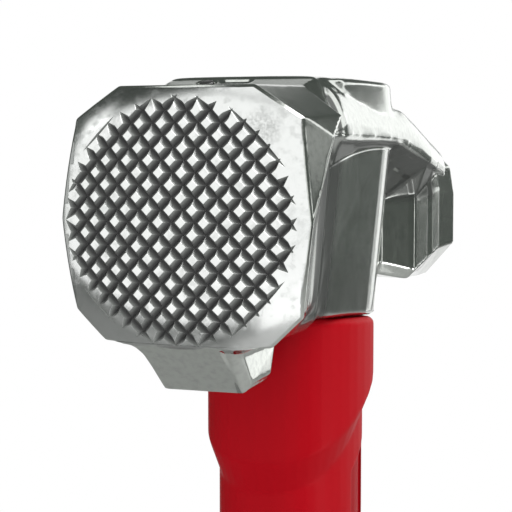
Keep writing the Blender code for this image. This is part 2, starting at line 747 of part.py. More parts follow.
def grip_sleeve():
    """Black rubber grip with a palm swell and cross ribs, slipped over the jacket's neck."""
    pitch = (GRIP_LENGTH - 2.0 * GRIP_BAND) / RIB_COUNT
    stations = [(0.0, 0.0)]
    for k in range(RIB_COUNT):
        stations += [(GRIP_BAND + (k + share) * pitch, sink) for share, sink in RIB_STEPS]
    stations.append((GRIP_LENGTH, 0.0))
    rings = []
    for along, sink in stations:
        share = along / GRIP_LENGTH
        palm = math.sin(math.pi * share) ** 2
        wave = math.sin(2.0 * math.pi * share)
        swell = GRIP_SWELL * (palm - 0.6 * wave)
        half_y = GRIP_HALF_Y + swell - RIB_DEPTH * sink
        rings.append(oval(GRIP_HALF_X + 0.5 * swell, half_y, JACKET_BOTTOM + along))
    sleeve = loft("grip_sleeve", rings)
    bore = (GRIP_HALF_X - GRIP_WALL, GRIP_HALF_Y - GRIP_WALL)
    cut_through(sleeve, [oval(*bore, JACKET_BOTTOM - CUT_SPARE), oval(*bore, GRIP_TOP + CUT_SPARE)])
    paint(sleeve, (0.02, 0.02, 0.02), 0.7, 0.0)
    return sleeve


def cross_turned(name, profile):
    """Solid turned about the tether hole's axis, from pairs of x and radius."""
    rings = []
    for x, radius in profile:
        ring = []
        for k in range(TURNED_SIDES):
            turn = 2.0 * math.pi * k / TURNED_SIDES
            ring.append((x, radius * math.cos(turn), TETHER_HEIGHT + radius * math.sin(turn)))
        rings.append(ring)
    return loft(name, rings)


def butt_cap():
    """Flared end cap with a pocket for the bar and a cross hole for the tether."""
    rings = [
        oval(BUTT_HALF_X - BUTT_EDGE, BUTT_HALF_Y - BUTT_EDGE, 0.0),
        oval(BUTT_HALF_X, BUTT_HALF_Y, BUTT_EDGE),
        oval(BUTT_HALF_X, BUTT_HALF_Y, BUTT_STRAIGHT * BUTT_HEIGHT),
        oval(GRIP_HALF_X, GRIP_HALF_Y, BUTT_HEIGHT),
    ]
    cap = loft("butt_cap", rings)
    cut_through(cap, core_bore(POCKET_FLOOR, BUTT_HEIGHT + CUT_SPARE))
    reach = 2.0 * BUTT_HALF_X
    hole = BUSH_RADIUS + CLEARANCE
    combine(cap, cross_turned("tether_hole", [(-reach, hole), (reach, hole)]), "DIFFERENCE")
    paint(cap, (0.02, 0.02, 0.02), 0.6, 0.0)
    return cap


def tether_bush():
    """Steel bush that lines the tether hole, with a flange outside each side of the cap."""
    inner = BUTT_HALF_X + CLEARANCE
    outer = inner + BUSH_FLANGE_THICKNESS
    profile = [(inner, BUSH_RADIUS), (inner, BUSH_FLANGE), (outer, BUSH_FLANGE)]
    profile = [(-x, radius) for x, radius in reversed(profile)] + profile
    bush = cross_turned("tether_bush", profile)
    reach = 2.0 * outer
    combine(bush, cross_turned("bore", [(-reach, BUSH_BORE), (reach, BUSH_BORE)]), "DIFFERENCE")
    paint(bush, (0.55, 0.56, 0.56), 0.3, 1.0)
    return bush


pieces = [
    hammer_head(),
    nail_magnet(),
    handle_core(),
    eye_bond(),
    eye_cap(),
    handle_jacket(),
    grip_sleeve(),
    butt_cap(),
    tether_bush(),
]
print("Built", ", ".join(piece.name for piece in pieces))
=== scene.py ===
# %% [markdown]
# # A lineman hammer, dressed for its photograph
# The solids of the hammer are already built and stay where they are. This lesson gives each of them a finer
# surface and a finish: a forged steel head with a milled face, a red moulded handle, a rubber grip and a butt
# with a tether hole. Everything is in metres, +Z runs up the handle and the milled face looks along -Y.

# %% Load the solids
import math

import bpy
from mathutils import Matrix, Vector


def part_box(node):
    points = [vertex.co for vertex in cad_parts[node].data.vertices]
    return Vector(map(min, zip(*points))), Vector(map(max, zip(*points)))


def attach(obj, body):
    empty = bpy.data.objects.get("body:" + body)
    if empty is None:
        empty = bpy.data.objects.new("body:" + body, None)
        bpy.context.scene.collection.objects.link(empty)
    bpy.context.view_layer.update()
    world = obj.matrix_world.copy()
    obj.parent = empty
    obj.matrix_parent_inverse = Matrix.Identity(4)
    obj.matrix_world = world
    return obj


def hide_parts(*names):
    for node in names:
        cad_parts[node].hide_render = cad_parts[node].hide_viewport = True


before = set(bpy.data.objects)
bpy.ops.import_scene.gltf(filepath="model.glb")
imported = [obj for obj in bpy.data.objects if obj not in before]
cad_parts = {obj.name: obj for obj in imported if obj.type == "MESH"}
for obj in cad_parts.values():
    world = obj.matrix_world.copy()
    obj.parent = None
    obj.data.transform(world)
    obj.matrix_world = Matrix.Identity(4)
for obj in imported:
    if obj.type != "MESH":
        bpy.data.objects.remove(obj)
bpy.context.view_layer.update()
head_low, head_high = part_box("hammer_head")
APEX_BELOW_TOP = 0.0240
APEX = Vector((0.0, head_low.y, head_high.z - APEX_BELOW_TOP))
print("solids:", ", ".join(sorted(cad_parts)))
print("apex of the milled face at", tuple(round(value, 4) for value in APEX))

# %% [markdown]
# ## The camera
# The photograph looks at the face from a little to its right and from just above it, through a long lens. The
# direction comes from the slant of the milled grooves and the sides that show. A constraint could aim the
# camera, but its place and turn are written from the face's apex here, so that it follows the head.

# %% Camera
SENSOR = 36.0
FOCAL_SHARE = 1530.0 / 512.0
VIEW_AZIMUTH = math.radians(21.365)
VIEW_ELEVATION = math.radians(4.334)
CAMERA_FROM_APEX = Vector((0.09992, -0.22048, 0.01293))
CLIP_START = 0.01


def looking(azimuth, elevation):
    """Turn of a thing that looks at the hammer, from an azimuth to the right of the front and a height."""
    back = Vector((
        math.sin(azimuth) * math.cos(elevation),
        -math.cos(azimuth) * math.cos(elevation),
        math.sin(elevation),
    ))
    right = Vector((math.cos(azimuth), math.sin(azimuth), 0.0))
    return Matrix((right, back.cross(right), back)).transposed().to_euler()


bpy.ops.object.select_all(action="DESELECT")
bpy.ops.object.camera_add(location=APEX + CAMERA_FROM_APEX, rotation=looking(VIEW_AZIMUTH, VIEW_ELEVATION))
camera = bpy.context.object
camera.data.sensor_width = SENSOR
camera.data.lens = SENSOR * FOCAL_SHARE
camera.data.clip_start = CLIP_START
bpy.context.scene.camera = camera
bpy.context.scene.view_settings.view_transform = "Standard"
print("camera lens", round(camera.data.lens, 2), "mm")

# %% [markdown]
# ## Modelling by hand, in code
# The same few steps come back in every piece: pick what an operator works on, go into edit mode, come out
# again, and apply a modifier. They could be written out each time. Under plain names they read better.


# %% Bench tools
def pick(*pieces):
    """Select these objects only, with the first one active."""
    bpy.ops.object.select_all(action="DESELECT")
    for piece in pieces:
        piece.select_set(True)
    bpy.context.view_layer.objects.active = pieces[0]


def edit(piece):
    """Go into edit mode on one piece with all of it selected."""
    pick(piece)
    bpy.ops.object.mode_set(mode="EDIT")
    bpy.ops.mesh.select_all(action="SELECT")


def done():
    """Turn the faces outwards and leave edit mode."""
    bpy.ops.mesh.select_all(action="SELECT")
    bpy.ops.mesh.normals_make_consistent(inside=False)
    bpy.ops.object.mode_set(mode="OBJECT")


def apply_modifier(piece, kind, **settings):
    """Add a modifier, set it and apply it."""
    pick(piece)
    modifier = piece.modifiers.new(kind.lower(), kind)
    for name, value in settings.items():
        setattr(modifier, name, value)
    bpy.ops.object.modifier_apply(modifier=modifier.name)


def triangles(piece):
    """How many triangles a piece has."""
    piece.data.calc_loop_triangles()
    return len(piece.data.loop_triangles)


print("bench tools ready")

# %% [markdown]
# ## Copies, skins and cuts
# A piece starts as a copy of its solid or as a skin. A skin is a flat grid whose corners are put on a row of
# rings, whose seam is merged and whose ends are filled. A chain of extrusions would give such a tube too, but
# the grid takes any ring. Skins also make the tools that a boolean cuts with.

# %% Copies, skins and cuts
MERGE_COPY = 1e-6
MERGE_SKIN = 1e-8


def copy_node(node, name):
    """New object with a merged copy of a solid's mesh."""
    piece = bpy.data.objects.new(name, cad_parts[node].data.copy())
    piece.data.name = name
    bpy.context.scene.collection.objects.link(piece)
    edit(piece)
    bpy.ops.mesh.remove_doubles(threshold=MERGE_COPY)
    bpy.ops.mesh.customdata_custom_splitnormals_clear()
    bpy.ops.object.mode_set(mode="OBJECT")
    return piece


def grid(name, columns, rows, place):
    """Grid whose corners go where place says, from their column and row."""
    bpy.ops.object.select_all(action="DESELECT")
    bpy.ops.mesh.primitive_grid_add(x_subdivisions=columns, y_subdivisions=rows, size=2.0)
    piece = bpy.context.object
    piece.name = name
    piece.data.name = name
    for vertex in piece.data.vertices:
        column = round((vertex.co.x + 1.0) * 0.5 * columns)
        row = round((vertex.co.y + 1.0) * 0.5 * rows)
        vertex.co = place(column, row)
    return piece


def skin(name, rings, closed=False):
    """Skin over rings of equal length, with filled ends or closed on itself."""
    count = len(rings)
    around = len(rings[0])
    columns = count if closed else count - 1
    piece = grid(name, columns, around, lambda column, row: rings[column % count][row % around])
    edit(piece)
    bpy.ops.mesh.remove_doubles(threshold=MERGE_SKIN)
    if not closed:
        bpy.ops.mesh.fill_holes(sides=0)
    done()
    return piece


def carve(piece, tool, operation="DIFFERENCE"):
    """Boolean with a tool that is thrown away afterwards."""
    apply_modifier(piece, "BOOLEAN", object=tool, operation=operation, solver="MANIFOLD")
    bpy.data.objects.remove(tool, do_unlink=True)


print("skins and cuts ready")

# %% [markdown]
# ## The forged head: one skin without the milling
# The head is a steel forging, so its corners are all a little round and its walls flow into each other. A
# bevel on every edge would stumble over the places where many walls meet. Instead the milled face is filled,
# the whole solid is turned into an even skin of small cells and that skin is relaxed. The arch along the side
# and the hollow behind the face flow more than the rest, so they are relaxed further, by a weight. The milling
# comes back afterwards, cut as crisply as a mill does it.


# %% Relaxing
def evened(piece, cell, rounds, most):
    """Turn a piece into an even skin of small cells, relax it and thin it."""
    apply_modifier(piece, "REMESH", mode="VOXEL", voxel_size=cell)
    apply_modifier(piece, "SMOOTH", factor=0.5, iterations=rounds)
    if triangles(piece) > most:
        apply_modifier(piece, "DECIMATE", ratio=most / triangles(piece))


def soft_step(low, high, value):
    """Smooth rise from 0 to 1."""
    share = min(1.0, max(0.0, (value - low) / (high - low)))
    return share * share * (3.0 - 2.0 * share)


def soften(piece, rounds, weight):
    """Relax part of a skin further, by a weight from each point's place behind the face's apex."""
    group = piece.vertex_groups.new(name="soften")
    for vertex in piece.data.vertices:
        share = weight(*(vertex.co - APEX))
        if share > 0.0:
            group.add([vertex.index], share, "REPLACE")
    apply_modifier(piece, "SMOOTH", factor=0.5, iterations=rounds, vertex_group=group.name)
    piece.vertex_groups.clear()


print("relaxing ready")

# %% Shape of the face
CROWN_CURVATURE = 8.3
CROWN_FALL = 4000.0
FACE_HALF = (
    (0.0119, 0.0217),
    (0.0201, 0.0164),
    (0.0201, 0.0152),
    (0.0220, 0.0000),
    (0.0200, -0.0150),
    (0.0147, -0.0200),
)


def crown(x, z):
    """How far the face has fallen back from its apex."""
    r2 = x * x + z * z
    return 0.5 * CROWN_CURVATURE * r2 + CROWN_FALL * r2 * r2


def face_outline(share=1.0, inset=0.0):
    """The face's outline round its apex, shrunk by a share and then by an inset."""
    right = [(x * share, z * share) for x, z in FACE_HALF]
    ring = right + [(-x, z) for x, z in reversed(right)]
    return [(x - math.copysign(inset, x), z - math.copysign(inset, z)) for x, z in ring]


def at_apex(x, y, z):
    """Point given from the apex of the face."""
    return (APEX.x + x, APEX.y + y, APEX.z + z)


print("face outline has", len(face_outline()), "corners")

# %% Where the forging flows
ARCH_START = (0.026, 0.030)
ARCH_END = (0.103, 0.098)
ARCH_TOP = (0.0228, 0.0215)
ARCH_TOP_END = (0.040, 0.035)
ARCH_FOOT = (0.0112, 0.0124)
ARCH_SIDE = (0.0115, 0.0130)
FLANK_START = (0.008, 0.013)
FLANK_END = (0.042, 0.034)
FLANK_LOW = (-0.019, -0.016)
FLANK_TOP = (0.012, 0.008)
FLANK_SIDE = (0.011, 0.012)


def arch(x, y, z):
    """Share of the arch and of the boss that grows out of it."""
    run = soft_step(*ARCH_START, y) * soft_step(*ARCH_END, y)
    below_top = max(soft_step(*ARCH_TOP, z), soft_step(*ARCH_TOP_END, y))
    return run * below_top * soft_step(*ARCH_FOOT, z) * soft_step(*ARCH_SIDE, abs(x))


def flank(x, y, z):
    """Share of the hollow between the block behind the face and the cheek."""
    run = soft_step(*FLANK_START, y) * soft_step(*FLANK_END, y)
    return run * soft_step(*FLANK_LOW, z) * soft_step(*FLANK_TOP, z) * soft_step(*FLANK_SIDE, abs(x))


print("arch and flank marked")

# %% Fill the face and relax the skin
FACE_LAND = 0.0003
FILL_INSET = 0.00004
FILL_FRONT = -0.0030
FILL_BACK = 0.0075
FILL_BACK_SHARE = 0.80
HEAD_CELL = 0.00032
HEAD_ROUNDS = 5
HEAD_TRIANGLES = 150000
ARCH_ROUNDS = 60
FLANK_ROUNDS = 120

head = copy_node("hammer_head", "forged_head")
full = face_outline(inset=FILL_INSET)
fill = skin("face_fill", [
    [at_apex(x, FILL_FRONT, z) for x, z in full],
    [at_apex(x, crown(x, z) + FACE_LAND, z) for x, z in full],
    [at_apex(x, FILL_BACK, z) for x, z in face_outline(share=FILL_BACK_SHARE)],
])
carve(head, fill, "UNION")
evened(head, HEAD_CELL, HEAD_ROUNDS, HEAD_TRIANGLES)
soften(head, ARCH_ROUNDS, arch)
soften(head, FLANK_ROUNDS, flank)
print("relaxed head", triangles(head), "triangles")

# %% [markdown]
# ## Milling the face
# A real milled face is first turned to a shallow crown. Then rows of V grooves are cut across it at 45 degrees
# both ways, 15 each way, which leaves small flat diamonds between them. They fill a round field, and at its
# border each groove gets shallower and narrower and ends in a spike. A bump would stay flat in profile, so the
# same is done here: a crown, a broken rim, and two sets of V-shaped cutters that run out of the surface.

# %% Crown
CROWN_CELLS = 64
CROWN_REACH = 0.0260
CROWN_FRONT = 0.0100


def crown_tool():
    """Block in front of the face whose rear side is the crown."""
    step = 2.0 * CROWN_REACH / CROWN_CELLS

    def place(column, row):
        x = column * step - CROWN_REACH
        z = row * step - CROWN_REACH
        return at_apex(x, crown(x, z), z)

    tool = grid("crown_tool", CROWN_CELLS, CROWN_CELLS, place)
    edit(tool)
    bpy.ops.mesh.extrude_region_move(TRANSFORM_OT_translate={"value": (0.0, -CROWN_FRONT, 0.0)})
    done()
    return tool


carve(head, crown_tool())
print("crowned head", triangles(head), "triangles")

# %% Rim
RIM_BREAK = 0.00032
RIM_STEPS = 10
RIM_WEDGE = ((-1.6, 0.6), (0.6, -1.6), (2.0, 2.0))
CHIN_LOW = (-0.0190, -0.0198)
CHIN_SIDE = (0.0130, 0.0115)
CHIN_SHARE = 0.9


def rim_path():
    """Points all round the face's outline."""
    corners = face_outline()
    path = []
    for (x0, z0), (x1, z1) in zip(corners, corners[1:] + corners[:1]):
        for k in range(RIM_STEPS):
            share = k / RIM_STEPS
            path.append(Vector((x0 + (x1 - x0) * share, z0 + (z1 - z0) * share)))
    return path


def rim_tool():
    """Thin wedge all round the face that breaks its edge, and hardly touches it at the chin."""
    path = rim_path()
    rings = []
    for k, point in enumerate(path):
        into = (point - path[k - 1]).normalized()
        away = (path[(k + 1) % len(path)] - point).normalized()
        out = (into + away).normalized().orthogonal()
        if out.dot(point) < 0.0:
            out.negate()
        chin = soft_step(*CHIN_LOW, point.y) * soft_step(*CHIN_SIDE, abs(point.x))
        width = RIM_BREAK * (1.0 - CHIN_SHARE * chin)
        mitre = out * width / math.cos(0.5 * into.angle(away))
        y = crown(*point)
        wedge = []
        for outwards, forwards in RIM_WEDGE:
            x, z = point + mitre * outwards
            wedge.append(at_apex(x, y - forwards * width, z))
        rings.append(wedge)
    return skin("rim_tool", rings, closed=True)


carve(head, rim_tool())
print("head with a broken rim", triangles(head), "triangles")

# %% Grooves
MILL_RADIUS = 0.0204
MILL_FADE = 0.0016
MILL_LEFT = 0.0007
MILL_LOW = 0.0001
MILL_PITCH = 0.00280
MILL_FLAT = 0.00127
MILL_DEPTH = 0.0011
MILL_SHIFT = 0.0009
MILL_STEP = 0.0004
MILL_ABOVE = 0.0005
MILL_SPARE = -0.08
MILL_LINES = range(-7, 8)
MILL_START = 0.0002


def groove_tool(offset, turn):
    """V-shaped cutter for one groove, which follows the crown and runs out at both ends."""
    along = Vector((math.cos(turn), math.sin(turn)))
    across = Vector((-along.y, along.x))
    slope = 0.5 * (MILL_PITCH - MILL_FLAT) / MILL_DEPTH
    steps = int((MILL_RADIUS + 2.0 * MILL_SHIFT) / MILL_STEP)
    rings = []
    for i in range(-steps, steps + 1):
        run = i * MILL_STEP
        x, z = Vector((MILL_SHIFT, 0.0)) + across * offset + along * run
        share = min(1.0, (MILL_RADIUS - math.hypot(x + MILL_LEFT, z + MILL_LOW)) / MILL_FADE)
        if share > MILL_SPARE:
            height = MILL_ABOVE + MILL_DEPTH * share
            side = across * slope * height
            top = crown(x, z) - MILL_ABOVE
            rings.append([
                at_apex(x, top + height, z),
                at_apex(x + side.x, top, z + side.y),
                at_apex(x - side.x, top, z - side.y),
            ])
    return skin("groove", rings)


for turn, start in ((math.radians(45.0), 0.0), (math.radians(135.0), MILL_START)):
    tools = [groove_tool(start + (k + 0.5) * MILL_PITCH, turn) for k in MILL_LINES]
    pick(*tools)
    bpy.ops.object.join()
    print("grooves in this set:", len(tools))
    carve(head, bpy.context.object)

# %% [markdown]
# ## Into the solid's place
# Where many cuts meet, a boolean can leave a flap: two faces on the very same corners, with nothing between
# them. A remesh would hide it, but would also blunt the grooves, so such faces are looked for and deleted. Then
# the finished piece is shaded, rides on the part's one body and replaces the solid that it was made from.


# %% Seat the head
def drop_doubled(piece):
    """Delete flaps that a cut may leave: faces that lie on the very same corners as another face."""
    pick(piece)
    bpy.ops.object.mode_set(mode="EDIT")
    bpy.ops.mesh.select_mode(type="FACE")
    bpy.ops.mesh.select_all(action="DESELECT")
    bpy.ops.object.mode_set(mode="OBJECT")
    shared = {}
    for face in piece.data.polygons:
        shared.setdefault(frozenset(face.vertices), []).append(face)
    flaps = [face for faces in shared.values() if len(faces) > 1 for face in faces]
    for face in flaps:
        face.select = True
    print(piece.name, "doubled faces", len(flaps))
    bpy.ops.object.mode_set(mode="EDIT")
    bpy.ops.mesh.delete(type="FACE")
    bpy.ops.mesh.select_mode(type="VERT")
    bpy.ops.object.mode_set(mode="OBJECT")


def seat(piece, node, angle):
    """Shade a finished piece, with edges over this angle left sharp, and put it in a solid's place."""
    pick(piece)
    bpy.ops.object.shade_smooth_by_angle(angle=math.radians(angle))
    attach(piece, "root")
    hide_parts(node)
    print(piece.name, triangles(piece), "triangles")


drop_doubled(head)
seat(head, "hammer_head", 32.0)

# %% [markdown]
# ## The red jacket
# The handle is a glass-fibre bar in a moulded red jacket. At the top the jacket swells into a collar that takes
# missed blows, and each side has a shallow sunk panel. It could be drawn again from rings, but the solid
# already has these shapes, so it is evened and relaxed until its edges look moulded.

# %% Jacket
JACKET_CELL = 0.0005
JACKET_ROUNDS = 4
JACKET_TRIANGLES = 120000
jacket = copy_node("handle_jacket", "red_jacket")
evened(jacket, JACKET_CELL, JACKET_ROUNDS, JACKET_TRIANGLES)
print("jacket skin", triangles(jacket), "triangles")

# %% [markdown]
# ## Side panels
# Each side of the shaft has a long shallow panel with a slanted top. Relaxing the skin has rounded its step,
# and a finer skin would round it too. So the step is cut again: a slab with the panel's outline, less a
# slightly thinner jacket, is the layer to take off.

# %% Panels
PANEL_FRONT = 0.0531
PANEL_BACK = 0.0641
PANEL_TOP = -0.0497
PANEL_TOP_BACK = -0.0447
PANEL_LOW = -0.1397
PANEL_INNER = 0.0085
PANEL_OUTER = 0.0180
PANEL_SHRINK = 0.966


def panel_layer(side):
    """Shallow layer over one side panel, between the jacket's skin and a thinner jacket."""
    plan = (
        (PANEL_FRONT, PANEL_LOW),
        (PANEL_BACK, PANEL_LOW),
        (PANEL_BACK, PANEL_TOP_BACK),
        (PANEL_FRONT, PANEL_TOP),
    )
    rings = [[at_apex(side * x, y, z) for y, z in plan] for x in (PANEL_INNER, PANEL_OUTER)]
    layer = skin("panel_layer", rings)
    thinner = bpy.data.objects.new("thinner_jacket", jacket.data.copy())
    bpy.context.scene.collection.objects.link(thinner)
    for vertex in thinner.data.vertices:
        vertex.co.x *= PANEL_SHRINK
    carve(layer, thinner)
    return layer


for side in (1.0, -1.0):
    carve(jacket, panel_layer(side))
seat(jacket, "handle_jacket", 50.0)

# %% [markdown]
# ## The rubber grip
# The grip is out of the photograph. Such hammers have a black rubber sleeve with a palm swell and a moulded
# tread. The ribs could be rings of their own, but moulded rubber is one skin, so the sleeve's outer rings carry
# them at the front and the back, between two smooth end bands.

# %% Shape of the grip
grip_low, grip_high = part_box("grip_sleeve")
GRIP_HALF_X = 0.0150
GRIP_HALF_Y = 0.0192
GRIP_SWELL = 0.0016
GRIP_LEAN = 0.6
GRIP_LIP = 0.0012
GRIP_BAND = 0.0080
RIB_COUNT = 14
RIB_DEPTH = 0.0007
RIB_FALL = (0.2, 0.35)
RIB_RISE = (0.65, 0.8)
OVAL_POWER = 2.4
GRIP_AROUND = 120


def oval(half_x, half_y, z):
    """Ring of points on a rounded oval at a height."""
    ring = []
    for k in range(GRIP_AROUND):
        turn = 2.0 * math.pi * k / GRIP_AROUND
        c = math.cos(turn)
        s = math.sin(turn)
        x = half_x * math.copysign(abs(c) ** (2.0 / OVAL_POWER), c)
        y = half_y * math.copysign(abs(s) ** (2.0 / OVAL_POWER), s)
        ring.append((x, y, z))
    return ring


def grip_ring(z):
    """Outer ring of the grip at a height, with its swell, its rounded ends and its ribs."""
    share = (z - grip_low.z) / (grip_high.z - grip_low.z)
    swell = GRIP_SWELL * (math.sin(math.pi * share) ** 2 - GRIP_LEAN * math.sin(2.0 * math.pi * share))
    end = min(z - grip_low.z, grip_high.z - z)
    lip = GRIP_LIP * (1.0 - math.sqrt(max(0.0, 1.0 - (1.0 - min(1.0, end / GRIP_LIP)) ** 2)))
    pitch = (grip_high.z - grip_low.z - 2.0 * GRIP_BAND) / RIB_COUNT
    wave = (z - grip_low.z - GRIP_BAND) / pitch
    phase = wave - math.floor(wave) if end > GRIP_BAND else 0.0
    valley = soft_step(*RIB_FALL, phase) - soft_step(*RIB_RISE, phase)
    return oval(GRIP_HALF_X + 0.5 * swell - lip, GRIP_HALF_Y + swell - lip - RIB_DEPTH * valley, z)


print("grip from", round(grip_low.z, 4), "to", round(grip_high.z, 4))

# %% Grip
GRIP_WALL = 0.0028
GRIP_ALONG = 420
rings = []
for k in range(GRIP_ALONG + 1):
    rings.append(grip_ring(grip_low.z + (grip_high.z - grip_low.z) * k / GRIP_ALONG))
for z in (grip_high.z, grip_low.z):
    rings.append(oval(GRIP_HALF_X - GRIP_WALL, GRIP_HALF_Y - GRIP_WALL, z))
grip = skin("ribbed_grip", rings, closed=True)
seat(grip, "grip_sleeve", 60.0)

# %% [markdown]
# ## The butt and its tether hole
# The butt is a flared rubber cap with a hole across it, lined by a steel bush whose edges are rolled over. The
# cap's solid has the right form, so it is evened like the jacket. A bevel on the bush's solid would leave its
# facets, so the bush is turned again, from a profile with rounded flanges.

# %% Butt
BUTT_CELL = 0.0005
BUTT_ROUNDS = 6
BUTT_TRIANGLES = 60000
butt = copy_node("butt_cap", "flared_butt")
evened(butt, BUTT_CELL, BUTT_ROUNDS, BUTT_TRIANGLES)
seat(butt, "butt_cap", 50.0)

# %% Bush
BUSH_RADIUS = 0.0044
BUSH_BORE = 0.0034
BUSH_FLANGE = 0.0056
FLANGE_ROUND = 0.00038
FLANGE_THICKNESS = 0.0008
FLANGE_STEPS = 6
TURNED_SIDES = 64
bush_low, bush_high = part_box("tether_bush")
bush_z = 0.5 * (bush_low.z + bush_high.z)


def rolled(centre_x, centre_r, start, end):
    """Part of a rounded edge in a turned profile, as pairs of x and radius."""
    points = []
    for k in range(FLANGE_STEPS + 1):
        turn = math.radians(start + (end - start) * k / FLANGE_STEPS)
        points.append((centre_x + FLANGE_ROUND * math.cos(turn), centre_r + FLANGE_ROUND * math.sin(turn)))
    return points


outer = bush_high.x - FLANGE_ROUND
half = [(outer - FLANGE_THICKNESS + FLANGE_ROUND, BUSH_RADIUS)]
half += rolled(outer - FLANGE_THICKNESS + 2.0 * FLANGE_ROUND, BUSH_FLANGE - FLANGE_ROUND, 180.0, 90.0)
half += rolled(outer, BUSH_FLANGE - FLANGE_ROUND, 90.0, 0.0)
half += rolled(outer, BUSH_BORE + FLANGE_ROUND, 0.0, -90.0)
rings = []
for x, radius in half + [(-x, radius) for x, radius in reversed(half)]:
    ring = []
    for k in range(TURNED_SIDES):
        turn = 2.0 * math.pi * k / TURNED_SIDES
        ring.append((x, radius * math.cos(turn), bush_z + radius * math.sin(turn)))
    rings.append(ring)
bush = skin("rolled_bush", rings, closed=True)
seat(bush, "tether_bush", 40.0)

# %% [markdown]
# ## Nail magnet and eye cap
# A small round magnet sits in the nail starter, and a plastic cap closes the top of the eye. Both could be made
# anew, but their solids have the right outline. A bevel with a few steps breaks their edges, so that they catch
# the light.

# %% Magnet and cap
MAGNET_EDGE = 0.00018
CAP_EDGE = 0.0006
EDGE_STEPS = 3
EDGE_ANGLE = 40.0
FLAT_ANGLE = 2.0


def bevelled(node, name, width):
    """Copy of a solid whose sharp edges are broken."""
    piece = copy_node(node, name)
    edit(piece)
    bpy.ops.mesh.dissolve_limited(angle_limit=math.radians(FLAT_ANGLE))
    bpy.ops.object.mode_set(mode="OBJECT")
    apply_modifier(piece, "BEVEL", width=width, segments=EDGE_STEPS, angle_limit=math.radians(EDGE_ANGLE))
    return piece


magnet = bevelled("nail_magnet", "nail_magnet_disc", MAGNET_EDGE)
seat(magnet, "nail_magnet", EDGE_ANGLE)
cap = bevelled("eye_cap", "eye_cap_plug", CAP_EDGE)
seat(cap, "eye_cap", EDGE_ANGLE)

# %% [markdown]
# ## Wiring shaders
# A finish is a sum of a few patterns. Its nodes could be made and linked one by one, which soon hides what the
# sum says. Instead one small class wraps a socket, so that such sums can be written as plain Python, and one
# method adds any other node.


# %% Wire
class Wire:
    """One output of a shader node that can be added, multiplied and so on."""

    def __init__(self, tree, socket=None):
        self.tree = tree
        self.socket = socket

    def node(self, kind, settings=None, inputs=None, out=0):
        """Any other node: its settings first, then the values or wires of its sockets."""
        made = self.tree.nodes.new("ShaderNode" + kind)
        for name, value in (settings or {}).items():
            setattr(made, name, value)
        for name, value in (inputs or {}).items():
            if isinstance(value, Wire):
                self.tree.links.new(value.socket, made.inputs[name])
            else:
                made.inputs[name].default_value = value
        return Wire(self.tree, made.outputs[out] if len(made.outputs) else None)

    def maths(self, operation, first, second=0.0):
        """Math node on two values or wires."""
        return self.node("Math", {"operation": operation}, {0: first, 1: second})

    def __add__(self, other):
        return self.maths("ADD", self, other)

    def __radd__(self, other):
        return self.maths("ADD", other, self)

    def __sub__(self, other):
        return self.maths("SUBTRACT", self, other)

    def __rsub__(self, other):
        return self.maths("SUBTRACT", other, self)

    def __mul__(self, other):
        return self.maths("MULTIPLY", self, other)

    def __rmul__(self, other):
        return self.maths("MULTIPLY", other, self)

    def rise(self, low, high):
        """Smooth step of this value from 0 at low to 1 at high."""
        settings = {"interpolation_type": "SMOOTHSTEP"}
        return self.node("MapRange", settings, {"Value": self, "From Min": low, "From Max": high})

    def blend(self, first, second):
        """Colour between two, by this value."""
        return self.node("Mix", {"data_type": "RGBA"}, {0: self, 6: first, 7: second}, 2)


def rgb(red, green, blue):
    """Colour with full cover."""
    return (red, green, blue, 1.0)


print("wire class ready")

# %% [markdown]
# ## Shared patterns
# Every finish reads the piece's own Object coordinates in millimetres from the face's apex, so that sizes in a
# pattern are real sizes. A UV map would need seams, and forgings and mouldings show none. Noise gives stains
# and grain, and a bump turns the finest grain into relief.

# %% Patterns
MILLIMETRES = 1000.0


class Finish:
    """A material with its Principled shader and the place of each point, in millimetres."""

    def __init__(self, name):
        self.material = bpy.data.materials.new(name)
        self.material.use_nodes = True
        self.tree = self.material.node_tree
        self.tree.nodes.clear()
        self.start = Wire(self.tree)
        spot = self.start.node("TexCoord", out="Object")
        moved = self.start.node("VectorMath", {"operation": "SUBTRACT"}, {0: spot, 1: tuple(APEX)})
        self.place = self.start.node("VectorMath", {"operation": "SCALE"}, {0: moved, "Scale": MILLIMETRES})
        parts = self.tree.nodes.new("ShaderNodeSeparateXYZ")
        self.tree.links.new(self.place.socket, parts.inputs[0])
        self.x, self.y, self.z = (Wire(self.tree, output) for output in parts.outputs)

    def noise(self, size, detail=2.0, stretch=(1.0, 1.0, 1.0)):
        """Soft noise whose blotches are about this many millimetres, from 0 to 1."""
        scaled = tuple(1.0 / (size * part) for part in stretch)
        place = self.start.node("VectorMath", {"operation": "MULTIPLY"}, {0: self.place, 1: scaled})
        return self.start.node("TexNoise", inputs={"Vector": place, "Scale": 1.0, "Detail": detail})

    def bump(self, height, depth, under=None):
        """Relief of this many millimetres, on top of another relief if there is one."""
        inputs = {"Height": height, "Distance": depth / MILLIMETRES, "Strength": 1.0}
        if under is not None:
            inputs["Normal"] = under
        return self.start.node("Bump", inputs=inputs)

    def close(self, inputs):
        """Principled shader and output, with the sockets as given."""
        shader = self.start.node("BsdfPrincipled", inputs=inputs)
        self.start.node("OutputMaterial", inputs={"Surface": shader})
        return self.material


def dress(piece, material):
    """Give a piece one material."""
    piece.data.materials.clear()
    piece.data.materials.append(material)


print("patterns ready")
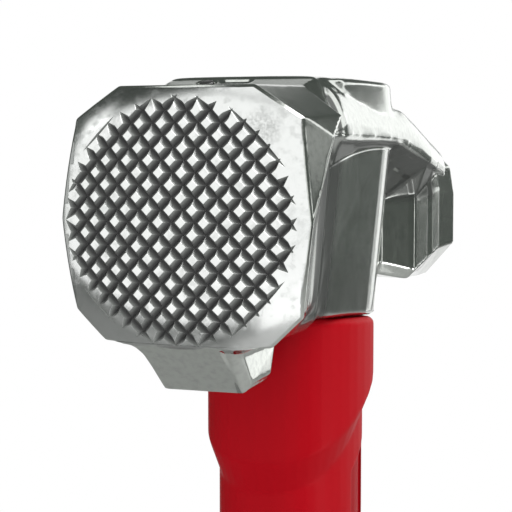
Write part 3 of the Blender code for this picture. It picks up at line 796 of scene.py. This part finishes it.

# %% [markdown]
# ## Forged and milled steel
# The head is one bar of steel with several finishes. The milled flats and the rim round them are ground bright,
# the groove walls keep the cutter's rougher grey and darken towards the bottom of each groove as painted shade,
# and the rest is satin with a fine grain. Faces could be sorted into several materials, but the finishes run
# into each other. So one material reads each point's place: the crown's own formula tells a flat from a groove,
# because a point in a groove lies deeper than the crown.
# Each pair below is a fade: the value where it starts and the value where it is whole, in millimetres.

# %% Milled face
STEEL = rgb(0.57, 0.59, 0.56)
STEEL_BRIGHT = rgb(0.76, 0.77, 0.76)
STEEL_WALL = rgb(0.44, 0.45, 0.44)
STEEL_VALLEY_SHADE = rgb(0.22, 0.22, 0.22)
MM_CURVATURE = 0.5 * CROWN_CURVATURE / MILLIMETRES
MM_FALL = CROWN_FALL / MILLIMETRES ** 3
MILL_BORDER_SQUARED = (432.0, 420.0)
GROOVE_TOP = (0.02, 0.08)
GROOVE_END = (1.5, 1.3)
FACE_DEPTH = (0.12, 0.02)
WALL_DEPTH = (0.05, 1.0)
SMUDGE = (0.46, 0.72)
SMUDGE_SHARE = 0.35
steel = Finish("forged_and_milled_steel")
r2 = steel.x * steel.x + steel.z * steel.z
depth = steel.y - r2 * MM_CURVATURE - r2 * r2 * MM_FALL
mill_x = steel.x + MILL_LEFT * MILLIMETRES
mill_z = steel.z + MILL_LOW * MILLIMETRES
mill2 = mill_x * mill_x + mill_z * mill_z
groove = depth.rise(*GROOVE_TOP) * depth.rise(*GROOVE_END) * mill2.rise(*MILL_BORDER_SQUARED)
face = depth.rise(*FACE_DEPTH)
smudge = steel.noise(size=1.6, detail=5.0).rise(*SMUDGE) * face
# groove walls: the cutter's grey, darkening towards the valley as painted shade
wall_and_valley_shade = depth.rise(*WALL_DEPTH).blend(STEEL_WALL, STEEL_VALLEY_SHADE)
colour = face.blend(STEEL, STEEL_BRIGHT)
colour = (smudge * SMUDGE_SHARE).blend(colour, STEEL_WALL)
print("milled face nodes", len(steel.tree.nodes))

# %% [markdown]
# ## Grime and painted shade
# Handling leaves a fine grey mottle on all the steel. Along the border of the milling the steel is darker: at
# the top on the left, where this is painted shade for a rim that curves back, at the bottom and in the upper
# right corner. A ring of even grey would look painted, so each of these three has its own strength, and the
# corner is broken up by noise.

# %% Grime and painted shade
STEEL_GRIME_AND_SHADE = rgb(0.30, 0.31, 0.30)
MOTTLE = (0.40, 0.75)
MOTTLE_SHARE = 0.30
MOTTLE_LESS_ON_FACE = 0.24
BORDER_SQUARED = (350.0, 410.0)
LOW_EDGE_HEIGHT = (-9.5, -13.0)
LOW_EDGE_RIGHT = (11.0, 6.0)
LOW_EDGE_SHARE = 0.75
TOP_EDGE_HEIGHT = (15.0, 20.0)
TOP_EDGE_RIGHT = (4.0, -3.0)
TOP_EDGE_SHARE = 0.70
CORNER_X = 13.6
CORNER_Z = 14.6
CORNER_SQUARED = (16.0, 1.0)
CORNER_SPECKS = (0.20, 0.80)
CORNER_SHARE = 0.7
mottle = steel.noise(size=1.1, detail=5.0).rise(*MOTTLE) * (MOTTLE_SHARE - face * MOTTLE_LESS_ON_FACE)
colour = mottle.blend(colour, STEEL_GRIME_AND_SHADE)
low_edge = steel.z.rise(*LOW_EDGE_HEIGHT) * steel.x.rise(*LOW_EDGE_RIGHT)
# painted shade at the top left of the milling, where the rim curves back
top_edge = steel.z.rise(*TOP_EDGE_HEIGHT) * steel.x.rise(*TOP_EDGE_RIGHT)
corner_x = steel.x - CORNER_X
corner_z = steel.z - CORNER_Z
corner = (corner_x * corner_x + corner_z * corner_z).rise(*CORNER_SQUARED)
corner = corner * steel.noise(size=0.5, detail=4.0).rise(*CORNER_SPECKS)
# darker border of the milling: painted shade at the top left, darker steel at the bottom and in the corner
border_marks = low_edge * LOW_EDGE_SHARE + top_edge * TOP_EDGE_SHARE + corner * CORNER_SHARE
darker_border = face * mill2.rise(*BORDER_SQUARED) * border_marks
colour = darker_border.blend(colour, STEEL_GRIME_AND_SHADE)
colour = groove.blend(colour, wall_and_valley_shade)
print("steel nodes with grime", len(steel.tree.nodes))

# %% [markdown]
# ## Painted shade in the hollows
# The cove between the cheek and the arch's lip, the hollow behind the face, the recess towards the poll and a
# strip behind the shoulder are painted with shade, so that they don't mirror the pale floor. A darker base
# colour would still be bare metal, so the shade is a second, dark and dull shader, mixed in at these places.

# %% Painted shade in the hollows
LIP_BEND = 66.0
LIP_SLOPE = 0.171
LIP_HEIGHT = 12.6
CREST_MIDDLE = 57.0
CREST_HEIGHT = 11.35
CREST_CURVE = 0.0039
RUN_FRONT = (28.0, 30.0)
RUN_BACK = (101.0, 98.0)
RUN_SIDE = (12.5, 13.5)
COVE_LOW = (0.1, 0.5)
COVE_TOP = (0.5, 0.0)
HOLLOW_FRONT = (18.5, 21.0)
HOLLOW_BACK = (37.0, 33.0)
HOLLOW_TOP = (12.5, 10.0)
HOLLOW_LOW = (-21.0, -17.0)
RECESS_FRONT = (66.0, 70.0)
RECESS_BACK = (103.0, 100.0)
RECESS_SIDE = (15.9, 15.4)
RECESS_LOW = (-1.0, 1.5)
RECESS_TOP = (0.0, -0.5)
SHOULDER_FRONT = (26.2, 26.8)
SHOULDER_BACK = (28.5, 28.0)
SHOULDER_SIDE = (14.5, 15.5)
SHOULDER_LOW = (13.5, 14.5)
SHOULDER_TOP = (21.0, 20.3)
maths = steel.start.maths
under_lip = steel.z + maths("MAXIMUM", steel.y - LIP_BEND) * LIP_SLOPE - LIP_HEIGHT
from_crest = steel.y - CREST_MIDDLE
over_cheek = steel.z - CREST_HEIGHT + from_crest * from_crest * CREST_CURVE
side = maths("ABSOLUTE", steel.x)
run = steel.y.rise(*RUN_FRONT) * steel.y.rise(*RUN_BACK) * side.rise(*RUN_SIDE)
cove = over_cheek.rise(*COVE_LOW) * under_lip.rise(*COVE_TOP) * run
hollow = steel.y.rise(*HOLLOW_FRONT) * steel.y.rise(*HOLLOW_BACK)
hollow = hollow * steel.z.rise(*HOLLOW_TOP) * steel.z.rise(*HOLLOW_LOW)
recess = steel.y.rise(*RECESS_FRONT) * steel.y.rise(*RECESS_BACK) * side.rise(*RECESS_SIDE)
recess = recess * steel.z.rise(*RECESS_LOW) * under_lip.rise(*RECESS_TOP)
shoulder = steel.y.rise(*SHOULDER_FRONT) * steel.y.rise(*SHOULDER_BACK) * side.rise(*SHOULDER_SIDE)
shoulder = shoulder * steel.z.rise(*SHOULDER_LOW) * steel.z.rise(*SHOULDER_TOP)
# painted shade in the cove, the hollow, the recess and the strip behind the shoulder
painted_shade = maths("MAXIMUM", maths("MAXIMUM", cove, hollow), recess)
painted_shade = maths("MAXIMUM", painted_shade, shoulder)
print("steel nodes with scale", len(steel.tree.nodes))

# %% [markdown]
# ## Relief of the steel
# A wheel leaves fine grain and brush lines. The arch's lip, the line along the cheek's crest and the pad on the
# right of the chin are in the mesh already, but a mirror shows every degree of lean. Moving their points would
# shift the edges too, so a shallow bump tilts them until they reflect the right lamp.

# %% Relief
GRAIN_DEPTH = 0.0016
BRUSH_DEPTH = 0.0008
LIP_FADE = (2.4, -0.4)
LIP_DEPTH = 0.25
CREST_LOW = (-0.35, 0.0)
CREST_TOP = (0.35, 0.0)
CREST_END = (69.0, 66.0)
CREST_DEPTH = 0.06
PAD_START = 7.0
PAD_SIDE = (6.0, 7.0)
PAD_TOP = (-20.4, -21.2)
PAD_LEAN = 0.19
grain = steel.noise(size=0.16, detail=2.0)
brushed = steel.noise(size=0.12, detail=2.0, stretch=(1.0, 1.0, 14.0))
lip = under_lip.rise(*LIP_FADE) * run
crest = over_cheek.rise(*CREST_LOW) * over_cheek.rise(*CREST_TOP) * run * steel.y.rise(*CREST_END)
pad = (steel.y - PAD_START) * steel.x.rise(*PAD_SIDE) * steel.z.rise(*PAD_TOP)
relief = steel.bump(grain, GRAIN_DEPTH)
relief = steel.bump(brushed, BRUSH_DEPTH, relief)
relief = steel.bump(lip, LIP_DEPTH, relief)
relief = steel.bump(crest, CREST_DEPTH, relief)
relief = steel.bump(pad, PAD_LEAN, relief)
print("steel nodes with relief", len(steel.tree.nodes))

# %% Steel
# dark, dull shader for the painted shade in the hollows
SHADE_DARK = rgb(0.030, 0.033, 0.030)
SHADE_SHARE = 0.85
stain = steel.noise(size=3.0, detail=4.0)
bare = steel.start.node("BsdfPrincipled", inputs={
    "Base Color": colour,
    "Metallic": 1.0,
    "Roughness": 0.09 + stain * 0.06 + grain * 0.03 + smudge * 0.12 + groove * 0.20,
    "Normal": relief,
})
dark = steel.start.node("BsdfPrincipled", inputs={
    "Base Color": SHADE_DARK,
    "Roughness": 0.5,
    "Specular IOR Level": 0.2,
    "Normal": relief,
})
mixed = steel.start.node("MixShader", inputs={0: painted_shade * SHADE_SHARE, 1: bare, 2: dark})
steel.start.node("OutputMaterial", inputs={"Surface": mixed})
dress(head, steel.material)
print("steel nodes", len(steel.tree.nodes))

# %% [markdown]
# ## Red moulded jacket
# The jacket is a hard, satin plastic with slight flow marks and a fine moulded grain. Its side panels are
# painted a deeper red as shade, deepest along the front and the top of the step, where the step's shadow is
# painted. They could be pieces of their own, but the real jacket is one moulding, so the panel's own outline
# picks the colour.

# %% Red panels
RED = (rgb(0.41, 0.002, 0.007), rgb(0.45, 0.003, 0.010))
RED_PAINTED_SHADE = rgb(0.16, 0.001, 0.003)
PANEL_EDGE = 0.1
PANEL_WIDTH = (11.1, 10.9)
PANEL_SIDE = (8.0, 9.0)
PANEL_SHADE_SHARE = 0.30
STEP_FRONT = (0.9, 1.5)
STEP_TOP = (-0.3, -0.7)
STEP_SHADE_SHARE = 0.45
red = Finish("red_moulded_plastic")
flow = red.noise(size=9.0, detail=3.0, stretch=(1.0, 1.0, 3.0))
slant = (PANEL_TOP_BACK - PANEL_TOP) / (PANEL_BACK - PANEL_FRONT)
behind = red.y - PANEL_FRONT * MILLIMETRES
under_top = red.z - PANEL_TOP * MILLIMETRES - behind * slant
above_low = red.z - PANEL_LOW * MILLIMETRES
sideways = red.start.maths("ABSOLUTE", red.x).rise(*PANEL_SIDE)
# the sunk panel is painted darker as shade
panel = behind.rise(-PANEL_EDGE, PANEL_EDGE) * under_top.rise(PANEL_EDGE, -PANEL_EDGE)
panel = panel * behind.rise(*PANEL_WIDTH) * sideways * above_low.rise(-PANEL_EDGE, PANEL_EDGE)
# painted shadow in the step's corner, along its front and its top
step = panel * (1.0 - behind.rise(*STEP_FRONT) * under_top.rise(*STEP_TOP))
print("red panel nodes", len(red.tree.nodes))

# %% Red
RED_GRAIN_DEPTH = 0.010
grain = red.noise(size=0.35, detail=2.0)
dress(jacket, red.close({
    "Base Color": (panel * PANEL_SHADE_SHARE + step * STEP_SHADE_SHARE).blend(flow.blend(*RED), RED_PAINTED_SHADE),
    "Specular IOR Level": 0.05,
    "Roughness": 0.36 + flow * 0.08 + grain * 0.06,
    "Normal": red.bump(grain, RED_GRAIN_DEPTH),
}))
print("red nodes", len(red.tree.nodes))

# %% [markdown]
# ## Rubber, plastic and the small parts
# The grip and the butt are matt rubber with dust in the pores. The cap is a hard black plastic. The magnet is
# dark and the bush is plated. The bar and its bond lie inside, so a fibre mottle and a resin mottle do. Each
# could have its own recipe, but two loops show better what they share: one for rubber and one for the rest.

# %% Rubber
PORE_DEPTH = 0.05
for piece, name, low, high in (
    (grip, "grip_rubber", rgb(0.012, 0.012, 0.013), rgb(0.030, 0.030, 0.031)),
    (butt, "butt_rubber", rgb(0.014, 0.014, 0.015), rgb(0.034, 0.034, 0.035)),
):
    rubber = Finish(name)
    pores = rubber.noise(size=0.5, detail=3.0)
    dust = rubber.noise(size=7.0, detail=4.0)
    dress(piece, rubber.close({
        "Base Color": (dust * 0.7 + pores * 0.3).blend(low, high),
        "Roughness": 0.56 + dust * 0.16 + pores * 0.08,
        "Normal": rubber.bump(pores, PORE_DEPTH),
    }))
print("rubber done")

# %% Small parts
SMALL_GRAIN_DEPTH = 0.008
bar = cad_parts["handle_core"]
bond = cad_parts["eye_bond"]
for piece, name, low, high, metallic, rough, size in (
    (magnet, "magnet_dark", rgb(0.10, 0.10, 0.10), rgb(0.22, 0.22, 0.22), 1.0, 0.34, 0.5),
    (cap, "cap_black", rgb(0.014, 0.014, 0.015), rgb(0.028, 0.028, 0.03), 0.0, 0.42, 3.0),
    (bush, "bush_plated", rgb(0.58, 0.58, 0.56), rgb(0.70, 0.70, 0.68), 1.0, 0.20, 1.5),
    (bar, "fibre_bar", rgb(0.42, 0.36, 0.22), rgb(0.58, 0.52, 0.36), 0.0, 0.45, 1.2),
    (bond, "eye_resin", rgb(0.06, 0.06, 0.06), rgb(0.12, 0.12, 0.11), 0.0, 0.35, 2.0),
):
    finish = Finish(name)
    mottle = finish.noise(size=size, detail=4.0)
    grain = finish.noise(size=0.25, detail=2.0)
    dress(piece, finish.close({
        "Base Color": mottle.blend(low, high),
        "Metallic": metallic,
        "Roughness": rough + mottle * 0.10 + grain * 0.06,
        "Normal": finish.bump(grain, SMALL_GRAIN_DEPTH),
    }))
print("small parts done")

# %% [markdown]
# ## Floor and paper
# The hammer stands on a pale floor. Behind it a sheet of white paper fills the picture. More light on the paper
# would make it white, but would light the hammer too. So it shows as plain white to the camera and in
# reflections, and is an ordinary pale surface to everything else.

# %% Floor
FLOOR_RADIUS = 2.5
FLOOR_SIDES = 96
bpy.ops.object.select_all(action="DESELECT")
bpy.ops.mesh.primitive_circle_add(vertices=FLOOR_SIDES, radius=FLOOR_RADIUS, fill_type="NGON")
floor = bpy.context.object
floor.name = "studio_floor"
floor_finish = Finish("pale_floor")
tone = floor_finish.noise(size=60.0, detail=3.0)
dress(floor, floor_finish.close({
    "Base Color": tone.blend(rgb(0.60, 0.60, 0.60), rgb(0.66, 0.66, 0.66)),
    "Roughness": 0.8,
}))
print("floor staged")

# %% Paper
PAPER_START = 0.85
PAPER_BEND = 1.5
PAPER_RADIUS = 0.7
PAPER_TOP = 1.35
PAPER_HALF_WIDTH = 0.52
PAPER_LIFT = 0.002
PAPER_STEPS = 24
ahead = Vector((-math.sin(VIEW_AZIMUTH), math.cos(VIEW_AZIMUTH), 0.0))
aside = Vector((ahead.y, -ahead.x, 0.0))
profile = [(PAPER_START, PAPER_LIFT)]
for k in range(PAPER_STEPS + 1):
    turn = 0.5 * math.pi * k / PAPER_STEPS
    profile.append((
        PAPER_BEND + PAPER_RADIUS * math.sin(turn),
        PAPER_LIFT + PAPER_RADIUS * (1.0 - math.cos(turn)),
    ))
profile.append((PAPER_BEND + PAPER_RADIUS, PAPER_TOP))


def paper_place(column, row):
    """Corner of the paper from its step along and its side."""
    along, height = profile[column]
    return ahead * along + aside * PAPER_HALF_WIDTH * (row - 1) + Vector((0.0, 0.0, height))


paper = grid("studio_paper", len(profile) - 1, 2, paper_place)
pick(paper)
bpy.ops.object.shade_smooth()
print("paper staged")

# %% White paper
WHITE_RAYS = ("Is Camera Ray", "Is Glossy Ray", "Is Transmission Ray")
paper_finish = Finish("white_paper")
start = paper_finish.start
rays = [start.node("LightPath", out=kind) for kind in WHITE_RAYS]
seen = start.maths("MINIMUM", rays[0] + rays[1] + rays[2], 1.0)
white = start.node("Emission", inputs={"Color": rgb(1.0, 1.0, 1.0), "Strength": 1.0})
matt = start.node("BsdfDiffuse", inputs={"Color": rgb(0.8, 0.8, 0.8)})
mixed = start.node("MixShader", inputs={0: seen, 1: matt, 2: white})
start.node("OutputMaterial", inputs={"Surface": mixed})
dress(paper, paper_finish.material)
print("paper is white to", ", ".join(WHITE_RAYS))

# %% [markdown]
# ## Lamps
# Ground steel is nearly a mirror, so its light and dark parts are what stands round it. One bright sky would
# turn it all one grey. Instead soft lamps stand where each side of the head looks: a wide bank in front for the
# milled face, cards behind for the long sides, and strips on the right for the pad, the poll and the red
# collar. The room between them is dim, which gives the steel its dark sides.


# %% Front lamps
def softbox(name, place, azimuth, elevation, width, height, radiance):
    """Rectangular soft lamp at a place from the apex, given by the brightness of its front."""
    turn = looking(math.radians(azimuth), math.radians(elevation))
    bpy.ops.object.select_all(action="DESELECT")
    bpy.ops.object.light_add(type="AREA", location=APEX + Vector(place), rotation=turn)
    lamp = bpy.context.object
    lamp.name = name
    lamp.data.shape = "RECTANGLE"
    lamp.data.size = width
    lamp.data.size_y = height
    lamp.data.energy = radiance * math.pi * width * height
    lamp.visible_camera = False
    print(name, width, "by", height, "m")


softbox("front_bank", (-0.14, -0.45, 0.0325), 0.0, 0.0, 1.72, 0.625, 1.1)
softbox("front_left", (-0.80, -0.45, 0.37), 0.0, 0.0, 0.36, 0.11, 1.1)
softbox("front_low", (0.19, -0.45, -0.312), 0.0, 0.0, 0.36, 0.066, 1.1)
softbox("left_side", (-0.95, -0.08, 0.0), -85.0, 0.0, 0.5, 0.5, 0.40)
softbox("front_top", (0.03, -0.52, 0.62), 0.0, 48.0, 0.50, 0.34, 1.0)
softbox("top_left", (-0.376, -0.19, 0.906), -63.0, 65.0, 0.24, 0.24, 1.3)

# %% Rear cards
softbox("rear_arch", (0.553, 1.008, 0.49), 151.25, 21.0, 0.3335, 0.70, 1.3)
softbox("rear_gap", (0.336, 1.0997, 0.2235), 163.0, 11.0, 0.14, 0.125, 1.2)
softbox("rear_foot", (0.68, 1.048, 0.041), 147.0, 1.9, 0.170, 0.125, 1.3)
softbox("rear_side", (0.784, 0.841, 0.303), 137.0, 14.5, 0.30, 0.323, 0.34)
softbox("rear_back", (0.11, 1.145, 0.1575), 174.5, 7.5, 0.385, 0.275, 1.3)
softbox("rear_low", (0.193, 1.366, -0.157), 172.0, -6.0, 0.241, 0.375, 1.2)
softbox("rear_corner", (-0.341, 1.151, -0.14), 196.5, -6.5, 0.273, 0.32, 1.0)
softbox("rear_top", (-0.343, 0.894, 0.542), 201.0, 29.5, 0.252, 0.25, 0.42)

# %% Right strips and the room
ROOM = rgb(0.100, 0.112, 0.102)
softbox("pad_strip", (0.721, 0.993, -0.239), 144.0, -11.0, 0.30, 0.14, 1.5)
softbox("right_low", (0.68, 0.145, -0.281), 102.0, -22.0, 0.30, 0.14, 7.5)
softbox("poll_strip", (0.689, 1.1025, -0.115), 148.5, -5.0, 0.025, 0.32, 1.8)
softbox("right_strip", (0.906, 0.423, 0.10), 115.0, 6.0, 0.105, 0.74, 2.4)
softbox("right_top", (0.65, 0.10, 0.75), 98.0, 49.0, 0.8, 0.8, 3.8)
world = bpy.data.worlds.new("studio_room")
bpy.context.scene.world = world
world.use_nodes = True
world.node_tree.nodes["Background"].inputs["Color"].default_value = ROOM
